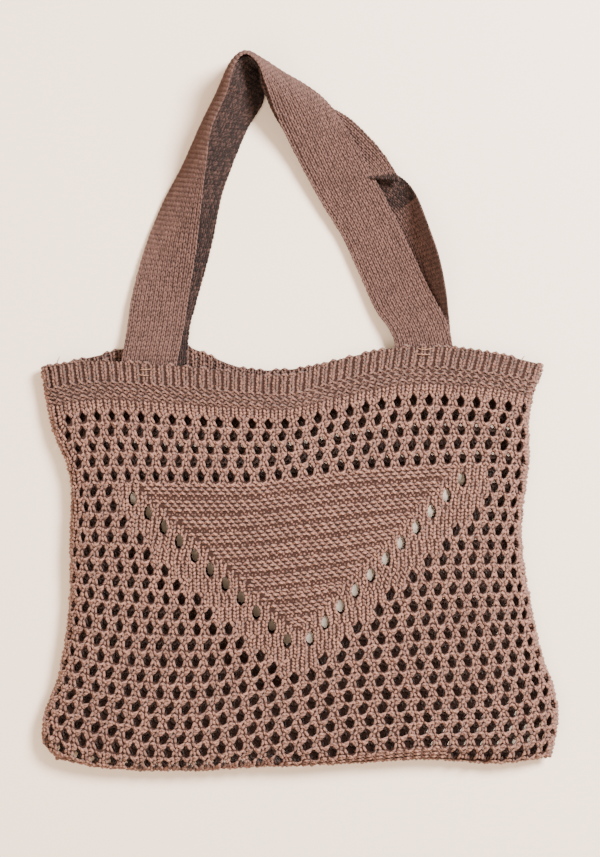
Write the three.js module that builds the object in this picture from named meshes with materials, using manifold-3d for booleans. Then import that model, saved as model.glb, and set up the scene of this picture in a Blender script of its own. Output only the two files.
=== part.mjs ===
// Knitted mesh tote bag, lying flat on a surface with its two long handles laid out above the mouth.
// Millimetres. +X is to the bag's right, +Y runs from its bottom to its handles, +Z is up from the surface.
// The origin is on the surface, under the middle of the object's box.
import * as THREE from "three";
import { mergeGeometries, mergeVertices } from "three/addons/utils/BufferGeometryUtils.js";
import Module from "manifold-3d";

// Cloth
const WALL_THICK = 3;
const STRAP_THICK = 3;
const GAP = 0.3;

// Height of the lying bag: the seam round the sides and bottom, the mouth, and the fullest part
const SEAM_HEIGHT = 10;
const MOUTH_HEIGHT = 17;
const BODY_HEIGHT = 26;
const SIDE_SHOULDER = 0.05;
const BOTTOM_SHOULDER = 15;

// The knitted net: holes across at its true pitch, and its rows counted down from the first under the band
const NET_COLUMNS = 28;
const NET_LEFT = 0.045;
const NET_RIGHT = 0.97;
const BAND_MIDDLE_ROW = -1.5;
const SEAM_ROW_SLANT = 1.6;

// The net is cut at about twice its true pitch, with openings in the same share of the cloth.
// Bands of net rows, and how many coarse rows each is cut in: over the triangle, beside it, and below it.
const COARSE = 2;
const HOLE_WIDTH = 13.5;
const HOLE_LENGTH = 17.5;
const NET_BANDS = [
  { from: 0.5, to: 5.5, slant: 0, rows: 3, broken: false },
  { from: 5.5, to: 18.5, slant: 0, rows: 7, broken: true },
  { from: 18.5, to: 24.3, slant: 1, rows: 3, broken: false },
];

// Eyelets in two slanting lines beside the plain triangle
const EYELETS_A_SIDE = 11;
const EYELET_WIDTH = 6;
const EYELET_LENGTH = 11;
const EYELETS_LEFT = { from: [-130, -66], to: [-8.5, -177.5] };
const EYELETS_RIGHT = { from: [129, -51], to: [9.5, -176] };
const EYELET_CLEARANCE = 9;

// Sections of the flat-lying bag, from its mouth down to its bottom seam.
// depth: place down the wall. row: net row there. left, right: edges of the bag. y: the row at each station.
const STATIONS = [0, 0.1, 0.25, 0.4, 0.5, 0.6, 0.75, 0.9, 1];
const SECTIONS = [
  { depth: 0, row: -3.5, left: -204, right: 195, y: [38, 43, 40, 34, 32, 45, 55, 49, 40] },
  { depth: 0.13, row: 1, left: -196, right: 184, y: [-7, -1, -4, -7, -7, 1, 11, 9, 4] },
  { depth: 0.27, row: 5, left: -181, right: 183, y: [-50, -48, -49, -49, -45, -40, -36, -34, -37] },
  { depth: 0.45, row: 10, left: -181, right: 177, y: [-108, -109, -112, -110, -106, -102, -94, -91, -92] },
  { depth: 0.6, row: 14, left: -181, right: 182, y: [-151, -155, -158, -157, -154, -148, -140, -137, -137] },
  { depth: 0.77, row: 19, left: -190, right: 193, y: [-208, -216, -220, -214, -207, -201, -197, -193, -189] },
  { depth: 0.88, row: 22, left: -201, right: 203, y: [-238, -247, -256, -248, -241, -233, -230, -226, -218] },
  { depth: 0.95, row: 24, left: -202, right: 206, y: [-258, -272, -276, -270, -262, -254, -249, -247, -242] },
  { depth: 1, row: 25.2, left: -192, right: 201, y: [-273, -280, -282, -279, -278, -276, -273, -276, -271] },
];
// The back wall is the same but for its top edge, which lies a little higher on the left.
const BACK_TOP_EDGE = [38, 47, 59, 38, 37, 44, 50, 45, 38];

// Extra lines that round the walls' shoulders: places across beside each side seam, and shares of the last rows
const SIDE_LINES = [0, 0.008, 0.024];
const SEAM_LINES = [0.45, 0.75, 0.93, 1];

// Sections of the handles, from the left end over the top to the right end, as the middle of the cloth.
// left, right: the two edges, seen along the strap from its left end. curl: 0 for a flat strap, up to 1 where it
// turns upright at its left edge, and down to -1 where it turns upright at its right edge.
const FRONT_END = MOUTH_HEIGHT - WALL_THICK - GAP - STRAP_THICK / 2;
const BACK_END = WALL_THICK + GAP + STRAP_THICK / 2;
const FRONT_HANDLE = [
  { left: [-143, 22, FRONT_END], right: [-97, 22, FRONT_END], curl: 0 },
  { left: [-141, 36, FRONT_END], right: [-96, 36, FRONT_END], curl: 0 },
  { left: [-138.5, 50, FRONT_END - 0.5], right: [-93.5, 50, FRONT_END - 0.5], curl: 0 },
  { left: [-135.5, 68, 9], right: [-90, 69, 9], curl: 0 },
  { left: [-131, 98, 6.5], right: [-86, 96, 8], curl: 0 },
  { left: [-120, 135.5, 4], right: [-80, 130, 13], curl: 0.6 },
  { left: [-106, 169.5, 3], right: [-75.5, 165.5, 22], curl: 0.9 },
  { left: [-91.5, 197, 2.5], right: [-72, 192.5, 31], curl: 1 },
  { left: [-77.5, 228, 2.5], right: [-67, 223, 38], curl: 1 },
  { left: [-65, 253, 2.5], right: [-55.5, 249, 42], curl: 1 },
  { left: [-53, 276, 3], right: [-49, 271.5, 45], curl: 1 },
  { left: [-40.5, 284, 4], right: [-40.5, 279.5, 46], curl: 1 },
  { left: [-24, 277, 3], right: [-31, 272, 44], curl: 1 },
  { left: [-10, 270, 2.5], right: [-27, 261, 39], curl: 0.8 },
  { left: [5, 262, 2.5], right: [-23, 250, 33], curl: 0.6 },
  { left: [22, 248.5, 7], right: [-17.5, 235, 23], curl: 0.4 },
  { left: [37, 228.5, 8], right: [-4.5, 209, 13], curl: 0.2 },
  { left: [58, 193, 7.5], right: [16, 171, 9], curl: 0 },
  { left: [74.5, 161.5, 8.5], right: [34, 142, 7.5], curl: 0 },
  { left: [91, 127.5, 9.5], right: [49, 109.5, 7.5], curl: 0 },
  { left: [104.5, 98.5, 10.5], right: [61, 83, 8.5], curl: 0 },
  { left: [115.5, 78, 11.5], right: [70, 70, 11], curl: 0 },
  { left: [121, 62, FRONT_END - 0.5], right: [75, 60, FRONT_END - 0.5], curl: 0 },
  { left: [124, 48, FRONT_END], right: [78, 46.5, FRONT_END], curl: 0 },
  { left: [126.5, 35, FRONT_END], right: [80.5, 33.5, FRONT_END], curl: 0 },
];
const BACK_HANDLE = [
  { left: [-134, 23, BACK_END], right: [-88.5, 23, BACK_END], curl: 0 },
  { left: [-131.5, 66, BACK_END], right: [-86, 66, BACK_END], curl: 0 },
  { left: [-125.5, 90.5, 2.5], right: [-80, 90.5, 1.8], curl: 0 },
  { left: [-111, 138, 3], right: [-68, 135.5, 1.8], curl: 0 },
  { left: [-97, 173.5, 10], right: [-61, 172, 1.8], curl: 0 },
  { left: [-83, 200, 20], right: [-52, 198.5, 1.8], curl: 0 },
  { left: [-69, 226.5, 29], right: [-40.5, 226.5, 1.8], curl: 0 },
  { left: [-56, 247, 34], right: [-31, 242, 1.8], curl: 0 },
  { left: [-50, 258, 38], right: [-27.5, 250, 2], curl: 0 },
  { left: [-46, 267, 40], right: [-27.5, 260, 3], curl: 0 },
  { left: [-40.5, 273.5, 41], right: [-31, 269.5, 3.5], curl: 0 },
  { left: [-33.5, 268, 39], right: [-22, 268, 3], curl: 0 },
  { left: [-29, 258.5, 34], right: [-11, 263, 2], curl: 0 },
  { left: [-24.5, 248.5, 27], right: [4, 254.5, 2], curl: 0 },
  { left: [-18, 233.5, 17], right: [24, 245, 1.8], curl: 0 },
  { left: [3, 205, 3], right: [41.5, 235.5, 1.8], curl: 0 },
  { left: [23, 185.5, 2], right: [60.5, 217, 1.8], curl: 0 },
  { left: [45, 161, 2], right: [79.5, 189, 5], curl: -0.3 },
  { left: [66, 151, 2], right: [94, 171, 17], curl: -1 },
  { left: [78, 137, 2], right: [102.5, 147.5, 25], curl: -1 },
  { left: [86, 117, 2], right: [110.5, 123.5, 27], curl: -1 },
  { left: [90, 94, 2], right: [116, 98.5, 22], curl: -1 },
  { left: [83, 76, 3], right: [119.5, 77, 6], curl: -0.8 },
  { left: [78, 61, BACK_END - 0.3], right: [121.5, 61, BACK_END - 0.2], curl: 0 },
  { left: [77.5, 48, BACK_END], right: [123, 48, BACK_END], curl: 0 },
  { left: [78, 33.5, BACK_END], right: [124, 33.5, BACK_END], curl: 0 },
];
const RINGS_A_SECTION = 2;
const STEPS_ACROSS_STRAP = 5;

const wasm = await Module();
wasm.setup();

const mix = THREE.MathUtils.lerp;

// The value at x of a smooth curve through the points (xs, ys), which may be unevenly spaced.
function curveThrough(xs, ys, x) {
  let k = 0;
  while (k < xs.length - 2 && x > xs[k + 1]) k += 1;
  const span = xs[k + 1] - xs[k];
  const slope = (i) => {
    const a = Math.max(i - 1, 0);
    const b = Math.min(i + 1, xs.length - 1);
    return (ys[b] - ys[a]) / (xs[b] - xs[a]);
  };
  const u = (x - xs[k]) / span;
  const rise = (2 * u - 3) * u * u;
  return (
    (1 + rise) * ys[k] -
    rise * ys[k + 1] +
    u * (1 - u) ** 2 * span * slope(k) -
    u * u * (1 - u) * span * slope(k + 1)
  );
}

const DEPTHS = SECTIONS.map((section) => section.depth);
const TOP_EDGE = SECTIONS[0];
const SEAM = SECTIONS.at(-1);

// A quarter-round profile: 0 at an edge, 1 where the wall has levelled out.
function levelled(distance) {
  const q = THREE.MathUtils.clamp(distance, 0, 1);
  return Math.sqrt(1 - (1 - q) ** 2);
}

// The plan of a wall: where the cloth at a place across (0 left, 1 right) and down (0 mouth, 1 seam) lies.
function wallPlan(across, down, topEdge) {
  const left = curveThrough(DEPTHS, SECTIONS.map((section) => section.left), down);
  const right = curveThrough(DEPTHS, SECTIONS.map((section) => section.right), down);
  const heights = SECTIONS.map((section, i) =>
    curveThrough(STATIONS, i === 0 ? topEdge : section.y, across),
  );
  const y = curveThrough(DEPTHS, heights, down);
  const inset = WALL_THICK / 2;
  return {
    x: mix(left + inset, right - inset, across),
    y: Math.max(y, heights.at(-1)) + inset * down,
    overSeam: Math.max(y - heights.at(-1), 0),
  };
}

// How far the wall has risen or dropped from the seam's height to its level part, from 0 to 1.
function levelShare(across, overSeam) {
  const side = levelled(Math.min(across, 1 - across) / SIDE_SHOULDER);
  return side * levelled(overSeam / BOTTOM_SHOULDER);
}

function frontPoint(across, down) {
  const plan = wallPlan(across, down, TOP_EDGE.y);
  const fullness = THREE.MathUtils.smoothstep(down, 0.08, 0.4);
  const crown = mix(1, 0.8 + 0.2 * Math.sin(Math.PI * across), fullness);
  const top = mix(MOUTH_HEIGHT, BODY_HEIGHT * crown, fullness) - WALL_THICK / 2;
  const seam = SEAM_HEIGHT + GAP / 2;
  return new THREE.Vector3(plan.x, plan.y, mix(seam, top, levelShare(across, plan.overSeam)));
}

function backPoint(across, down) {
  const plan = wallPlan(across, down, BACK_TOP_EDGE);
  const seam = SEAM_HEIGHT - GAP / 2;
  return new THREE.Vector3(plan.x, plan.y, mix(seam, WALL_THICK / 2, levelShare(across, plan.overSeam)));
}

// A closed sheet of cloth round a grid of points on its middle surface.
// Where seamed(row, column) holds, the edge face lies level, so that two sheets can meet there.
function sheetGeometry(grid, thickness, seamed = () => false) {
  const rows = grid.length;
  const columns = grid[0].length;
  const at = (j, i) => grid[Math.min(Math.max(j, 0), rows - 1)][Math.min(Math.max(i, 0), columns - 1)];
  const positions = [];
  for (const side of [0.5, -0.5]) {
    for (let j = 0; j < rows; j += 1) {
      for (let i = 0; i < columns; i += 1) {
        const across = at(j, i + 1).clone().sub(at(j, i - 1));
        const along = at(j + 1, i).clone().sub(at(j - 1, i));
        const normal = along.cross(across);
        if (seamed(j, i)) normal.z = 0;
        const point = at(j, i).clone().addScaledVector(normal.normalize(), side * thickness);
        positions.push(point.x, point.y, point.z);
      }
    }
  }
  const under = rows * columns;
  const faces = [];
  const quad = (a, b, c, d) => faces.push(a, b, c, a, c, d);
  for (let j = 0; j + 1 < rows; j += 1) {
    for (let i = 0; i + 1 < columns; i += 1) {
      const a = j * columns + i;
      quad(a, a + columns, a + columns + 1, a + 1);
      quad(under + a, under + a + 1, under + a + columns + 1, under + a + columns);
    }
  }
  const rim = (a, b) => quad(b, a, under + a, under + b);
  for (let j = 0; j + 1 < rows; j += 1) {
    rim(j * columns, (j + 1) * columns);
    rim((j + 2) * columns - 1, (j + 1) * columns - 1);
  }
  for (let i = 0; i + 1 < columns; i += 1) {
    rim((rows - 1) * columns + i, (rows - 1) * columns + i + 1);
    rim(i + 1, i);
  }
  const geometry = new THREE.BufferGeometry();
  geometry.setAttribute("position", new THREE.Float32BufferAttribute(positions, 3));
  geometry.setIndex(faces);
  return geometry;
}

// Turns a closed geometry into a solid that can be cut, and back.
function toSolid(geometry) {
  geometry.deleteAttribute("normal");
  geometry.deleteAttribute("uv");
  const merged = mergeVertices(geometry, 1e-4);
  return new wasm.Manifold(
    new wasm.Mesh({
      numProp: 3,
      vertProperties: merged.getAttribute("position").array,
      triVerts: new Uint32Array(merged.index.array),
    }),
  );
}

function toGeometry(solid) {
  const mesh = solid.getMesh();
  const geometry = new THREE.BufferGeometry();
  geometry.setAttribute("position", new THREE.BufferAttribute(mesh.vertProperties, 3));
  geometry.setIndex(new THREE.BufferAttribute(mesh.triVerts, 1));
  return geometry;
}

// One upright opening, taller than it is wide: four-sided in the net, six-sided for an eyelet.
function holeGeometry({ x, y }, width, length, sides) {
  const outline = new THREE.Shape(
    Array.from({ length: sides }, (_, i) => {
      const turn = (2 * Math.PI * i) / sides;
      return new THREE.Vector2((-Math.sin(turn) * width) / 2, (Math.cos(turn) * length) / 2);
    }),
  );
  const hole = new THREE.ExtrudeGeometry(outline, { depth: 2 * BODY_HEIGHT, bevelEnabled: false });
  return hole.translate(x, y, -BODY_HEIGHT / 2);
}

// Place down the wall of a net row, at a place across it.
function depthOfRow(row, across) {
  const rows = SECTIONS.map((section) => section.row);
  rows[rows.length - 1] = seamRow(across);
  let k = 0;
  while (k < rows.length - 2 && row > rows[k + 1]) k += 1;
  return mix(DEPTHS[k], DEPTHS[k + 1], (row - rows[k]) / (rows[k + 1] - rows[k]));
}

function seamRow(across) {
  return SEAM.row + SEAM_ROW_SLANT * across;
}

// The row of a coarse line in a band, counted from the band's top.
function bandRow(band, line, across) {
  return mix(band.from, band.to + band.slant * across, line / band.rows);
}

// The lines that part the coarse net's cells: places across, and rows down at a place across.
function cellLines() {
  const columns = NET_COLUMNS / COARSE;
  const net = Array.from({ length: columns + 1 }, (_, i) => mix(NET_LEFT, NET_RIGHT, i / columns));
  return [...SIDE_LINES, ...net, ...SIDE_LINES.map((x) => 1 - x).reverse()];
}

function rowLines(across) {
  const rows = [TOP_EDGE.row, BAND_MIDDLE_ROW, NET_BANDS[0].from];
  for (const band of NET_BANDS) {
    for (let line = 1; line <= band.rows; line += 1) rows.push(bandRow(band, line, across));
  }
  const lastNet = rows.at(-1);
  return [...rows, ...SEAM_LINES.map((share) => mix(lastNet, seamRow(across), share))];
}

// The middle of each eyelet, in two lines that meet under the triangle's point.
function eyeletPlaces() {
  return [EYELETS_LEFT, EYELETS_RIGHT].flatMap(({ from, to }) =>
    Array.from({ length: EYELETS_A_SIDE }, (_, i) => {
      const along = i / (EYELETS_A_SIDE - 1);
      return { x: mix(from[0], to[0], along), y: mix(from[1], to[1], along) };
    }),
  );
}

// Whether a place lies in the plain triangle or among its eyelets.
function inTriangle(x, y) {
  const side = x < 0 ? EYELETS_LEFT : EYELETS_RIGHT;
  const along = (x - side.from[0]) / (side.to[0] - side.from[0]);
  const line = mix(side.from[1], side.to[1], along);
  const outermost = Math.abs(side.from[0]) + EYELET_CLEARANCE;
  return y > line - 2 * EYELET_CLEARANCE && Math.abs(x) < outermost;
}

// The middles of the coarse net's holes: full rows over the triangle, broken rows beside it, full rows below.
function netPlaces() {
  const columns = NET_COLUMNS / COARSE;
  const places = [];
  for (const band of NET_BANDS) {
    for (let j = 0; j < band.rows; j += 1) {
      for (let i = 0; i < columns; i += 1) {
        const across = mix(NET_LEFT, NET_RIGHT, (i + 0.5) / columns);
        const row = bandRow(band, j + 0.5, across);
        const plan = wallPlan(across, depthOfRow(row, across), TOP_EDGE.y);
        if (band.broken && inTriangle(plan.x, plan.y)) continue;
        places.push(plan);
      }
    }
  }
  return places;
}

// Cuts a wall's net holes, and the given eyelets.
function pierced(wall, eyelets) {
  const net = netPlaces().map((place) => holeGeometry(place, HOLE_WIDTH, HOLE_LENGTH, 4));
  const rings = eyelets.map((place) => holeGeometry(place, EYELET_WIDTH, EYELET_LENGTH, 6));
  return toGeometry(toSolid(wall).subtract(toSolid(mergeGeometries([...net, ...rings]))));
}

// The front or back wall, as one knitted panel seamed to the other round its sides and bottom.
function wallGeometry(pointAt, eyelets) {
  const columns = cellLines();
  const lastRow = rowLines(0).length - 1;
  const lastColumn = columns.length - 1;
  const grid = rowLines(0).map((_, j) =>
    columns.map((across) => pointAt(across, depthOfRow(rowLines(across)[j], across))),
  );
  const seamed = (j, i) => j === lastRow || i === 0 || i === lastColumn;
  return pierced(sheetGeometry(grid, WALL_THICK, seamed), eyelets);
}

// A strap along its sections, each bent by its curl.
function strapGeometry(sections) {
  const edge = (name) =>
    new THREE.CatmullRomCurve3(
      sections.map((section) => new THREE.Vector3(...section[name])),
      false,
      "catmullrom",
      0.5,
    );
  const leftEdge = edge("left");
  const rightEdge = edge("right");
  const rings = (sections.length - 1) * RINGS_A_SECTION;
  const grid = [];
  for (let j = 0; j <= rings; j += 1) {
    const place = Math.min(Math.floor(j / RINGS_A_SECTION), sections.length - 2);
    const curl = mix(sections[place].curl, sections[place + 1].curl, j / RINGS_A_SECTION - place);
    const left = leftEdge.getPoint(j / rings);
    const right = rightEdge.getPoint(j / rings);
    const upright = curl > 0 ? left : right;
    const corner = new THREE.Vector3(upright.x, upright.y, curl > 0 ? right.z : left.z);
    const middle = left.clone().lerp(right, 0.5).lerp(corner, Math.abs(curl));
    const profile = new THREE.QuadraticBezierCurve3(left, middle, right);
    grid.push(profile.getPoints(STEPS_ACROSS_STRAP));
  }
  return sheetGeometry(grid, STRAP_THICK);
}

function yarn(colour) {
  return new THREE.MeshStandardMaterial({ color: colour, roughness: 0.95, metalness: 0 });
}

function piece(name, geometry, colour) {
  const mesh = new THREE.Mesh(geometry, yarn(colour));
  mesh.name = name;
  return mesh;
}

const everyOther = eyeletPlaces().filter((_, i) => (i % EYELETS_A_SIDE) % COARSE === 0);

const bag = new THREE.Group();
bag.add(
  piece("front_panel", wallGeometry(frontPoint, eyeletPlaces()), 0x9d7c70),
  piece("back_panel", wallGeometry(backPoint, everyOther), 0x8f6f64),
  piece("front_handle", strapGeometry(FRONT_HANDLE), 0x9a7a6f),
  piece("back_handle", strapGeometry(BACK_HANDLE), 0x8c6c62),
);

// The tables above are measured from the middle of the cloth's own plan, so the box is set over the origin here.
const box = new THREE.Box3().setFromObject(bag);
bag.position.set(-(box.min.x + box.max.x) / 2, -(box.min.y + box.max.y) / 2, -box.min.z);

export default bag;
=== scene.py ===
"""A knitted openwork tote bag, lying flat with its two long handles folded over above it.

Tables and sizes are in millimetres, and the finished meshes in metres, in the CAD model's frame.
Each wall and handle is a thin ground cloth, the walls' with the true net cut through it, and the
yarn of its stitches lies on it as short rounded lengths.
"""
from collections import namedtuple
from functools import partial

import bpy
import numpy as np
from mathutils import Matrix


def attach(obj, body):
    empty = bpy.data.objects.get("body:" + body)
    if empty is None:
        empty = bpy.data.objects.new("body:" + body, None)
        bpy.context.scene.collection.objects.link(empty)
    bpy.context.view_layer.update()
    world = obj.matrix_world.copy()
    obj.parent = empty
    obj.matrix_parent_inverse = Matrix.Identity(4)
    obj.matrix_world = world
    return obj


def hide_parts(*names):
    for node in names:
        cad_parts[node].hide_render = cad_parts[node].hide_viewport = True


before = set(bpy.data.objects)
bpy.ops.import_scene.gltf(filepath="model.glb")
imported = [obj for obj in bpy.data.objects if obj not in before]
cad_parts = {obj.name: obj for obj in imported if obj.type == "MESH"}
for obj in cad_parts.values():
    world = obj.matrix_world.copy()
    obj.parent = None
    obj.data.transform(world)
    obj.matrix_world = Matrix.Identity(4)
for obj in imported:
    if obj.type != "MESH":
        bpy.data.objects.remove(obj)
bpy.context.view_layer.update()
rng = np.random.default_rng(11)

MM = 0.001
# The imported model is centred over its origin, this far from the tables
TABLE_SHIFT = np.array([-0.67, -1.74, 0.0])

# Cloth
WALL_THICK = 3.0
GAP = 0.3
GROUND_THICK = 0.8
YARN = 2.5
STRAP_YARN = 1.85
STRAP_YARN_THROUGH = 1.6
# The middles of the stitches' yarn stay this high over the floor
WALL_YARN_LOWEST = 0.55 * YARN
STRAP_YARN_LOWEST = 1.05

# Height of the lying bag: the seam round the sides and bottom, the mouth, and the fullest part
SEAM_HEIGHT = 10.0
MOUTH_HEIGHT = 17.0
BODY_HEIGHT = 26.0
SIDE_SHOULDER = 0.05
BOTTOM_SHOULDER = 15.0
# The wall fills out between these places down it, to these shares of the full height: the first at
# its sides, and both together in the middle
FULLNESS = (0.08, 0.4)
CROWN_SIDES = 0.8
CROWN_RISE = 0.2

# Sections of the flat-lying bag, from its mouth down to its bottom seam.
# depth: place down the wall. row: net row there. left, right: edges of the bag.
# y: how far up the wall lies at each station, where a station is a place across it.
STATIONS = [0, 0.1, 0.25, 0.4, 0.5, 0.6, 0.75, 0.9, 1]
Section = namedtuple("Section", "depth row left right y")
SECTIONS = [
    Section(0.00, -3.5, -204, 195, [38, 43, 40, 34, 32, 45, 55, 49, 40]),
    Section(0.13, 1.0, -196, 184, [-7, -1, -4, -7, -7, 1, 11, 9, 4]),
    Section(0.27, 5.0, -181, 183, [-50, -48, -49, -49, -45, -40, -36, -34, -37]),
    Section(0.45, 10.0, -181, 177, [-108, -109, -112, -110, -106, -102, -94, -91, -92]),
    Section(0.60, 14.0, -181, 182, [-151, -155, -158, -157, -154, -148, -140, -137, -137]),
    Section(0.77, 19.0, -190, 193, [-208, -216, -220, -214, -207, -201, -197, -193, -189]),
    Section(0.88, 22.0, -201, 203, [-238, -247, -256, -248, -241, -233, -230, -226, -218]),
    Section(0.95, 24.0, -202, 206, [-258, -272, -276, -270, -262, -254, -249, -247, -242]),
    Section(1.00, 25.2, -192, 201, [-273, -280, -282, -279, -278, -276, -273, -276, -271]),
]
SEAM_ROW_SLANT = 1.6
DEPTHS = np.array([section.depth for section in SECTIONS])
ROWS = np.array([section.row for section in SECTIONS])
TOP_ROW = SECTIONS[0].row
# The back wall is the same but for its top edge, which lies a little higher on the left
BACK_TOP_EDGE = [38, 47, 59, 38, 37, 44, 50, 45, 38]

# The net's columns, numbered from the left: over the triangle, and beside and below it
ColumnPlaces = namedtuple("ColumnPlaces", "numbers across")
HIGH_COLUMNS = ColumnPlaces([-1, 4, 9, 14, 19, 24, 28], [0.030, 0.182, 0.345, 0.518, 0.686, 0.850, 0.984])
LOW_COLUMNS = ColumnPlaces(
    [-1.5, -1, -0.5, 0, 5, 10, 15, 20, 25, 27, 27.5, 28, 28.5],
    [0.002, 0.012, 0.0225, 0.039, 0.205, 0.3765, 0.5535, 0.743, 0.9075, 0.965, 0.9775, 0.988, 0.998],
)
# The first rows beside the triangle lie further to the right than the low columns, and come back
# to them over these rows
LEFT_SHIFT = 0.015
RIGHT_SHIFT = 0.019
LEFT_SHIFT_ROWS = (8, 11)
RIGHT_SHIFT_ROWS = (12, 13.5)
TRIANGLE_TOP = 5.5
TRIANGLE_BOTTOM = 18.5
FIRST_COLUMN = -1
MIDDLE_COLUMN = 14
LAST_COLUMN = 28
LAST_ROW = 27
# A cell has a hole where this many rows lie between its middle and the bottom seam, and where it
# ends before this place across the wall
HOLE_ROOM = 0.42
HOLE_LIMIT = 1.01
# Every other row of holes lies and slants the other way, by these shares of the bag's width and of a cell
LEAN = 0.005
SLANTS = (-0.2, 0.05)
# The outline of an opening bulges out more at its lower end, by this much of the curve's power
LOWER_BULGE = 0.6
NET_POWER = 1.25
EYELET_POWER = 1.7
# The back wall's net lies half a cell aside of the front's, across and down
NET_ASIDE = {"front": 0.0, "back": 0.5}
# The holes of each wall, as a share of the sizes below: the back wall's net is slacker
HOLE_SHARES = {"front": 1.0, "back": 0.78}

# Width and length of the holes by place across and by row
HoleSizes = namedtuple("HoleSizes", "row widths lengths")
HOLE_PLACES = [0.013, 0.05, 0.5, 0.95, 0.987]
HOLE_SIZES = [
    HoleSizes(1, [3.0, 4.0, 5.8, 5.2, 3.0], [6.6, 7.4, 8.2, 8.6, 7.0]),
    HoleSizes(10, [3.0, 4.6, 6.4, 5.8, 3.0], [6.8, 8.2, 8.6, 9.0, 7.0]),
    HoleSizes(20, [3.4, 6.0, 7.6, 6.6, 3.4], [7.2, 8.6, 8.8, 8.8, 7.2]),
]

# The eyelets beside the triangle, in two lines
Line = namedtuple("Line", "start end")
EYELET_LINES = [Line((-130, -66), (-8.5, -177.5)), Line((129, -51), (9.5, -176))]
EYELETS_A_SIDE = 11
EYELET_SIZE = (6.2, 11.4)
# Plain knitting lies beside the eyelets, out to this distance inside their line
EYELET_BORDER = 15.0

# A column of stitches is this share of the bag's width, and the band has these rows of them
WALE = 0.0163
Band = namedtuple("Band", "top bottom count kind")
BANDS = [Band(TOP_ROW + 0.12, -1.85, 6, "rib"), Band(-1.85, -0.3, 3, "ridge"), Band(-0.3, 0.5, 3, "knit")]
CAST_OFF_SPAN = (0.006, 0.994)
# A stitch of the triangle's purl is this much wider
PURL_WIDTH = 1.04
# Courses in a cell at the bottom seam that has no hole
EDGE_COURSES = 4
# The plain edges of a wall begin and end here, and the right one begins no further than LAST_START
WALL_START = 0.002
WALL_END = 0.998
LAST_START = 0.99
# Plain stitches end this many cells before the middle of the next hole, and the triangle's begin
# this many after the last one
KNIT_BEFORE = 0.3
KNIT_AFTER = 0.55
# How unevenly the yarn lies: across and down in the units of its surface, and up in millimetres
WALL_JITTER = (0.0006, 0.012, 0.12)
STRAP_JITTER = (0.003, 0.004, 0.06)

# Sections of the handles, from the left end over the top to the right end, as the middle of the cloth.
# left, right: the two edges. curl: 0 flat, up to 1 upright at its left edge, down to -1 at its right edge.
FRONT_END = MOUTH_HEIGHT - WALL_THICK - GAP - 1.5
BACK_END = WALL_THICK + GAP + 1.5
Bend = namedtuple("Bend", "left right curl")
FRONT_HANDLE = [
    Bend((-143, 22, FRONT_END), (-97, 22, FRONT_END), 0),
    Bend((-141, 36, FRONT_END), (-96, 36, FRONT_END), 0),
    Bend((-138.5, 50, FRONT_END - 0.5), (-93.5, 50, FRONT_END - 0.5), 0),
    Bend((-135.5, 68, 9), (-90, 69, 9), 0),
    Bend((-131, 98, 6.5), (-86, 96, 8), 0),
    Bend((-120, 135.5, 4), (-80, 130, 13), 0.35),
    Bend((-106, 169.5, 3), (-75.5, 165.5, 22), 0.5),
    Bend((-91.5, 197, 2.5), (-72, 192.5, 31), 0.6),
    Bend((-77.5, 228, 2.5), (-67, 223, 38), 0.65),
    Bend((-65, 253, 2.5), (-55.5, 249, 42), 0.7),
    Bend((-53, 276, 3), (-49, 271.5, 45), 1),
    Bend((-40.5, 284, 4), (-40.5, 279.5, 46), 1),
    Bend((-24, 277, 3), (-31, 272, 44), 1),
    Bend((-10, 270, 2.5), (-27, 261, 39), 0.8),
    Bend((5, 262, 2.5), (-23, 250, 33), 0.6),
    Bend((22, 248.5, 7), (-17.5, 235, 23), 0.4),
    Bend((37, 228.5, 8), (-4.5, 209, 13), 0.2),
    Bend((58, 193, 7.5), (16, 171, 9), 0),
    Bend((74.5, 161.5, 8.5), (34, 142, 7.5), 0),
    Bend((91, 127.5, 9.5), (49, 109.5, 7.5), 0),
    Bend((104.5, 98.5, 10.5), (61, 83, 8.5), 0),
    Bend((115.5, 78, 11.5), (70, 70, 11), 0),
    Bend((121, 62, FRONT_END - 0.5), (75, 60, FRONT_END - 0.5), 0),
    Bend((124, 48, FRONT_END), (78, 46.5, FRONT_END), 0),
    Bend((126.5, 35, FRONT_END), (80.5, 33.5, FRONT_END), 0),
]
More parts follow.
